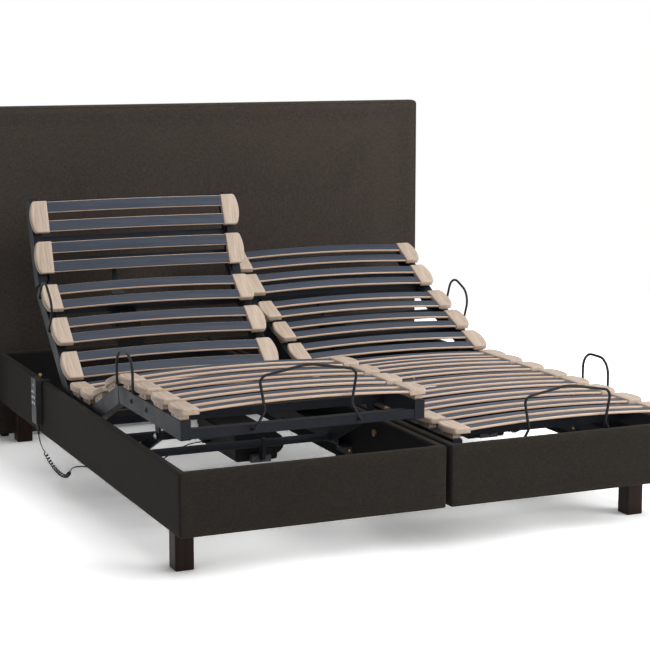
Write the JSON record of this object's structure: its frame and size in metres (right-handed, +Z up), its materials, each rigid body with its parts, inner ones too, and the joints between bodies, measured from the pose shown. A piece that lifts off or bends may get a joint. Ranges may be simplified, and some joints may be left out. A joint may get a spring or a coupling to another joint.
{
  "type": "adjustable bed base",
  "caption": "Double adjustable bed base: two cloth-covered boxes with motor-driven slatted frames, hoops, wired handsets and one headboard.",
  "frame": {"origin": "on the floor under the middle of the whole bed, headboard included", "axes": "+Z up, +Y towards the headboard, +X to the right as seen from the foot end"},
  "size_m": [1.79, 2.08, 1.205],
  "materials": {
    "headboard_cloth": "matte woven cloth",
    "box_cloth": "matte woven cloth",
    "lining": "matte black sheet",
    "dark_wood": "satin stained wood",
    "raw_wood": "sawn wood",
    "frame_paint": "satin anthracite powder coat",
    "wire_paint": "satin black powder coat",
    "slat_coat": "blue-grey coated beech",
    "cap_plastic": "beige moulded plastic",
    "drive_plastic": "black textured plastic",
    "slide_plastic": "dark grey plastic",
    "handset_plastic": "dark grey plastic",
    "key_plastic": "white plastic",
    "lead_rubber": "black flexible cover",
    "zinc": "zinc-plated steel"
  },
  "bodies": {
    "bed": {"headboard": "headboard_cloth", "headboard_glides": "drive_plastic", "legs": "dark_wood", "leg_blocks": "raw_wood", "fasteners": "zinc", "box_panels": "box_cloth", "box_lining": "lining", "base_frames": "frame_paint", "seat_slats": "slat_coat", "seat_caps": "cap_plastic", "drive_housings": "drive_plastic", "handsets": "handset_plastic", "left_lead": "lead_rubber", "left_curly_lead": "lead_rubber", "right_lead": "lead_rubber", "right_curly_lead": "lead_rubber"},
    "left_back": {"left_back_frame": "frame_paint", "left_back_slats": "slat_coat", "left_back_caps": "cap_plastic", "left_back_loop": "wire_paint", "left_head_drive": "drive_plastic"},
    "left_head": {"left_head_frame": "frame_paint", "left_head_slats": "slat_coat", "left_head_caps": "cap_plastic"},
    "left_thigh": {"left_thigh_frame": "frame_paint", "left_thigh_slats": "slat_coat", "left_thigh_caps": "cap_plastic"},
    "left_calf": {"left_calf_frame": "frame_paint", "left_calf_slats": "slat_coat", "left_calf_caps": "cap_plastic", "left_calf_wires": "wire_paint"},
    "left_leg_lift_body": {"left_leg_lift": "frame_paint"},
    "left_back_slide_body": {"left_back_slide": "slide_plastic"},
    "left_leg_slide_body": {"left_leg_slide": "slide_plastic"},
    "left_head_slide_body": {"left_head_slide": "slide_plastic"},
    "left_rocker_1_body": {"left_rocker_1": "key_plastic"},
    "left_rocker_2_body": {"left_rocker_2": "key_plastic"},
    "left_rocker_3_body": {"left_rocker_3": "key_plastic"},
    "right_back": {"right_back_frame": "frame_paint", "right_back_slats": "slat_coat", "right_back_caps": "cap_plastic", "right_back_loop": "wire_paint", "right_head_drive": "drive_plastic"},
    "right_head": {"right_head_frame": "frame_paint", "right_head_slats": "slat_coat", "right_head_caps": "cap_plastic"},
    "right_thigh": {"right_thigh_frame": "frame_paint", "right_thigh_slats": "slat_coat", "right_thigh_caps": "cap_plastic"},
    "right_calf": {"right_calf_frame": "frame_paint", "right_calf_slats": "slat_coat", "right_calf_caps": "cap_plastic", "right_calf_wires": "wire_paint"},
    "right_leg_lift_body": {"right_leg_lift": "frame_paint"},
    "right_back_slide_body": {"right_back_slide": "slide_plastic"},
    "right_leg_slide_body": {"right_leg_slide": "slide_plastic"},
    "right_head_slide_body": {"right_head_slide": "slide_plastic"},
    "right_rocker_1_body": {"right_rocker_1": "key_plastic"},
    "right_rocker_2_body": {"right_rocker_2": "key_plastic"},
    "right_rocker_3_body": {"right_rocker_3": "key_plastic"}
  },
  "joints": [
    {"name": "left_back_hinge", "type": "hinge", "parent": "bed", "child": "left_back", "pos_m": [-0.405, 0.125, 0.322], "axis": [1, 0, 0], "range_deg": [-41, 29]},
    {"name": "left_head_hinge", "type": "hinge", "parent": "left_back", "child": "left_head", "pos_m": [-0.405, 0.47368, 0.6251], "axis": [1, 0, 0], "range_deg": [-29, 6]},
    {"name": "left_thigh_hinge", "type": "hinge", "parent": "bed", "child": "left_thigh", "pos_m": [-0.405, -0.122, 0.322], "axis": [-1, 0, 0], "range_deg": [-23, 7]},
    {"name": "left_knee_hinge", "type": "hinge", "parent": "left_thigh", "child": "left_calf", "pos_m": [-0.405, -0.40275, 0.44117], "axis": [-1, 0, 0], "range_deg": [-7, 23]},
    {"name": "left_lift_pivot", "type": "hinge", "parent": "bed", "child": "left_leg_lift_body", "pos_m": [-0.405, -0.391, 0.221], "axis": [-1, 0, 0], "range_deg": [-23, 7]},
    {"name": "left_back_slide_travel", "type": "slide", "parent": "bed", "child": "left_back_slide_body", "axis": [0, 1, 0], "range_m": [-0.08735, 0.06178]},
    {"name": "left_leg_slide_travel", "type": "slide", "parent": "bed", "child": "left_leg_slide_body", "axis": [0, -1, 0], "range_m": [-0.0184, 0.0056]},
    {"name": "left_head_slide_travel", "type": "slide", "parent": "left_back", "child": "left_head_slide_body", "axis": [0, 0.7547, 0.6561], "range_m": [-0.0309, 0.00639]},
    {"name": "left_rocker_1_tilt", "type": "hinge", "parent": "bed", "child": "left_rocker_1_body", "pos_m": [-0.82405, 0.358, 0.286], "axis": [0, 0, 1], "range_deg": [-4, 4], "stiffness_Nm_per_rad": 0.02},
    {"name": "left_rocker_2_tilt", "type": "hinge", "parent": "bed", "child": "left_rocker_2_body", "pos_m": [-0.82405, 0.358, 0.267], "axis": [0, 0, 1], "range_deg": [-4, 4], "stiffness_Nm_per_rad": 0.02},
    {"name": "left_rocker_3_tilt", "type": "hinge", "parent": "bed", "child": "left_rocker_3_body", "pos_m": [-0.82405, 0.358, 0.248], "axis": [0, 0, 1], "range_deg": [-4, 4], "stiffness_Nm_per_rad": 0.02},
    {"name": "right_back_hinge", "type": "hinge", "parent": "bed", "child": "right_back", "pos_m": [0.405, 0.125, 0.322], "axis": [1, 0, 0], "range_deg": [-22, 48]},
    {"name": "right_head_hinge", "type": "hinge", "parent": "right_back", "child": "right_head", "pos_m": [0.405, 0.55336, 0.49507], "axis": [1, 0, 0], "range_deg": [-8, 27]},
    {"name": "right_thigh_hinge", "type": "hinge", "parent": "bed", "child": "right_thigh", "pos_m": [0.405, -0.122, 0.322], "axis": [-1, 0, 0], "range_deg": [0, 30]},
    {"name": "right_knee_hinge", "type": "hinge", "parent": "right_thigh", "child": "right_calf", "pos_m": [0.405, -0.427, 0.322], "axis": [-1, 0, 0], "range_deg": [-30, 0]},
    {"name": "right_lift_pivot", "type": "hinge", "parent": "bed", "child": "right_leg_lift_body", "pos_m": [0.405, -0.391, 0.221], "axis": [-1, 0, 0], "range_deg": [0, 30]},
    {"name": "right_back_slide_travel", "type": "slide", "parent": "bed", "child": "right_back_slide_body", "axis": [0, 1, 0], "range_m": [-0.04687, 0.10226]},
    {"name": "right_leg_slide_travel", "type": "slide", "parent": "bed", "child": "right_leg_slide_body", "axis": [0, -1, 0], "range_m": [0, 0.024]},
    {"name": "right_head_slide_travel", "type": "slide", "parent": "right_back", "child": "right_head_slide_body", "axis": [0, 0.9272, 0.3746], "range_m": [-0.00852, 0.02877]},
    {"name": "right_rocker_1_tilt", "type": "hinge", "parent": "bed", "child": "right_rocker_1_body", "pos_m": [0.82405, 0.358, 0.286], "axis": [0, 0, 1], "range_deg": [-4, 4], "stiffness_Nm_per_rad": 0.02},
    {"name": "right_rocker_2_tilt", "type": "hinge", "parent": "bed", "child": "right_rocker_2_body", "pos_m": [0.82405, 0.358, 0.267], "axis": [0, 0, 1], "range_deg": [-4, 4], "stiffness_Nm_per_rad": 0.02},
    {"name": "right_rocker_3_tilt", "type": "hinge", "parent": "bed", "child": "right_rocker_3_body", "pos_m": [0.82405, 0.358, 0.248], "axis": [0, 0, 1], "range_deg": [-4, 4], "stiffness_Nm_per_rad": 0.02}
  ],
  "couplings": [
    {"joint": "left_knee_hinge", "follows": "left_thigh_hinge", "ratio": -1},
    {"joint": "left_lift_pivot", "follows": "left_thigh_hinge", "ratio": 1},
    {"joint": "left_back_slide_travel", "follows": "left_back_hinge", "m_per_rad": 0.12206},
    {"joint": "left_leg_slide_travel", "follows": "left_thigh_hinge", "m_per_rad": 0.045837},
    {"joint": "left_head_slide_travel", "follows": "left_head_hinge", "m_per_rad": 0.06104},
    {"joint": "right_knee_hinge", "follows": "right_thigh_hinge", "ratio": -1},
    {"joint": "right_lift_pivot", "follows": "right_thigh_hinge", "ratio": 1},
    {"joint": "right_back_slide_travel", "follows": "right_back_hinge", "m_per_rad": 0.12206},
    {"joint": "right_leg_slide_travel", "follows": "right_thigh_hinge", "m_per_rad": 0.045837},
    {"joint": "right_head_slide_travel", "follows": "right_head_hinge", "m_per_rad": 0.06104}
  ]
}
